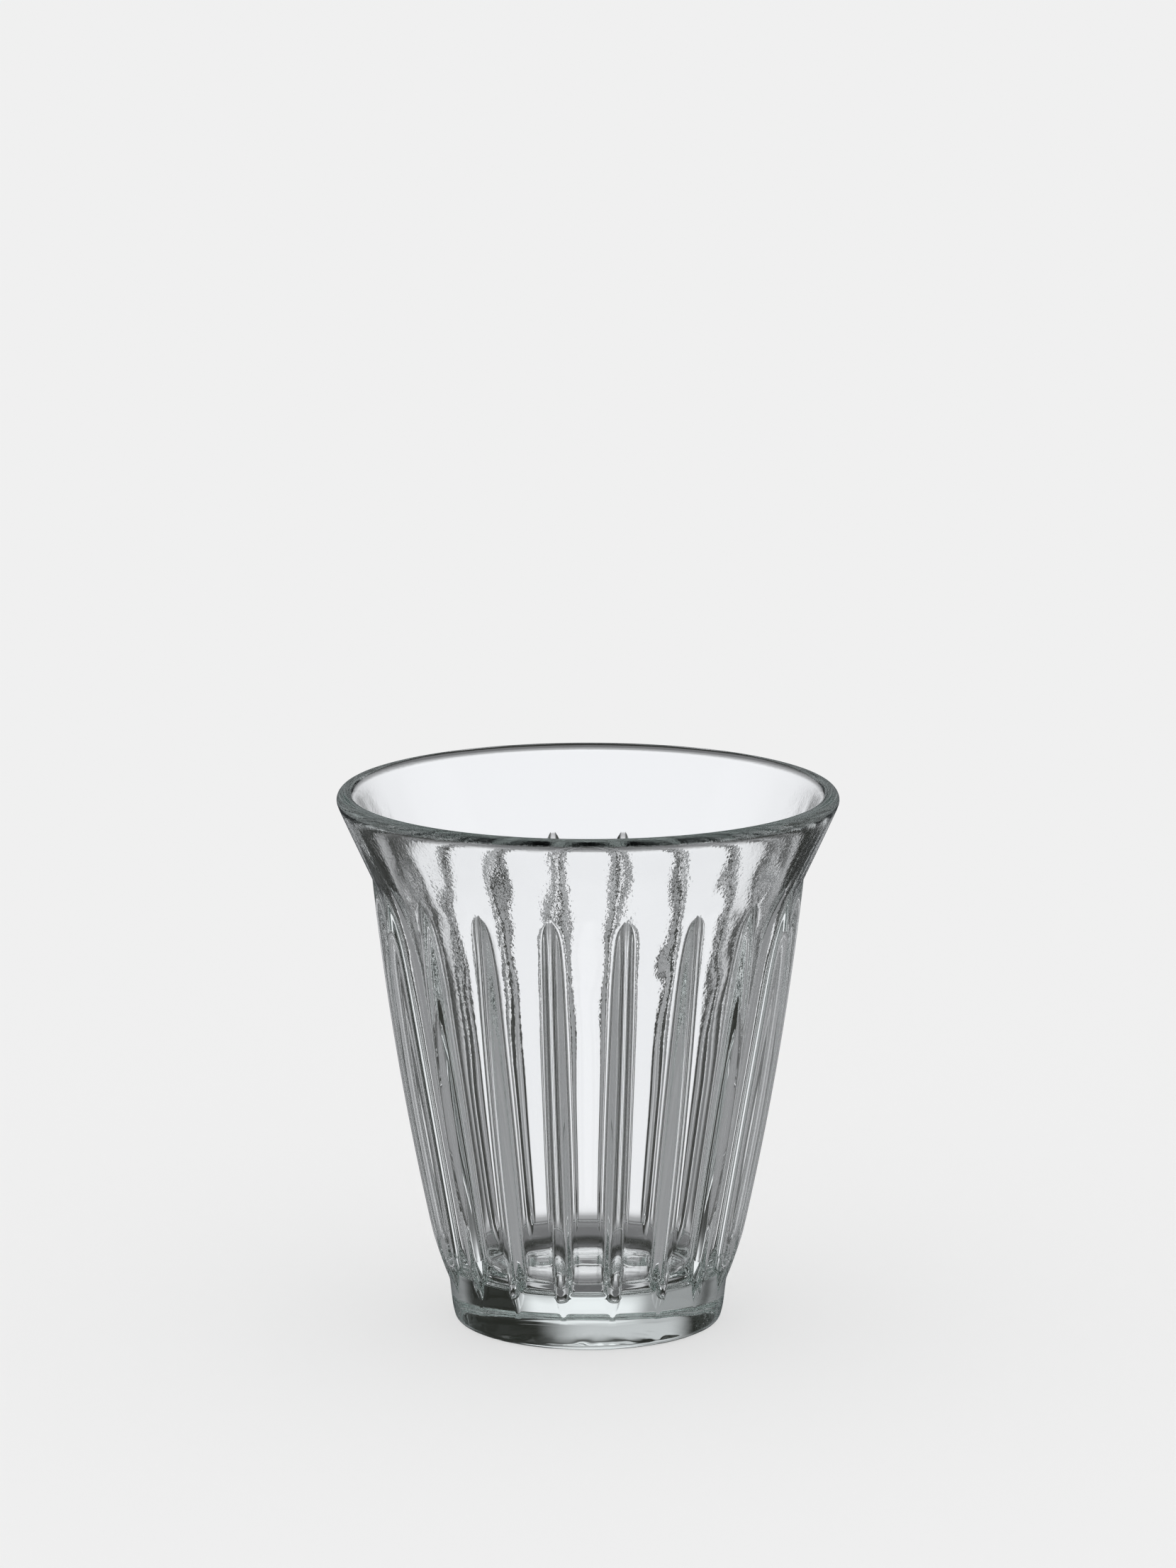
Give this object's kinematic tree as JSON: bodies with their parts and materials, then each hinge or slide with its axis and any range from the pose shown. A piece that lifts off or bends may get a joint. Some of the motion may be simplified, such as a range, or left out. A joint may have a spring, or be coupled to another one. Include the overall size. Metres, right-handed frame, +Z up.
{
  "type": "juice glass",
  "caption": "Clear pressed-glass tumbler for juice: a flared mouth with a rounded lip, upright ribs round a tapering bowl, and a solid foot with a ledge.",
  "frame": {"origin": "centre of the foot on the plane that the glass stands on", "axes": "+Z up along the axis of the glass, through the mouth; -Y faces the viewer of the picture, who looks at a gap between two ribs"},
  "size_m": [0.0832, 0.0832, 0.09],
  "materials": {
    "clear_glass": "clear, fire polished"
  },
  "bodies": {
    "root": {"foot": "clear_glass", "bowl": "clear_glass", "rim": "clear_glass", "rib_01": "clear_glass", "rib_02": "clear_glass", "rib_03": "clear_glass", "rib_04": "clear_glass", "rib_05": "clear_glass", "rib_06": "clear_glass", "rib_07": "clear_glass", "rib_08": "clear_glass", "rib_09": "clear_glass", "rib_10": "clear_glass", "rib_11": "clear_glass", "rib_12": "clear_glass", "rib_13": "clear_glass", "rib_14": "clear_glass", "rib_15": "clear_glass", "rib_16": "clear_glass", "rib_17": "clear_glass", "rib_18": "clear_glass"}
  },
  "joints": []
}
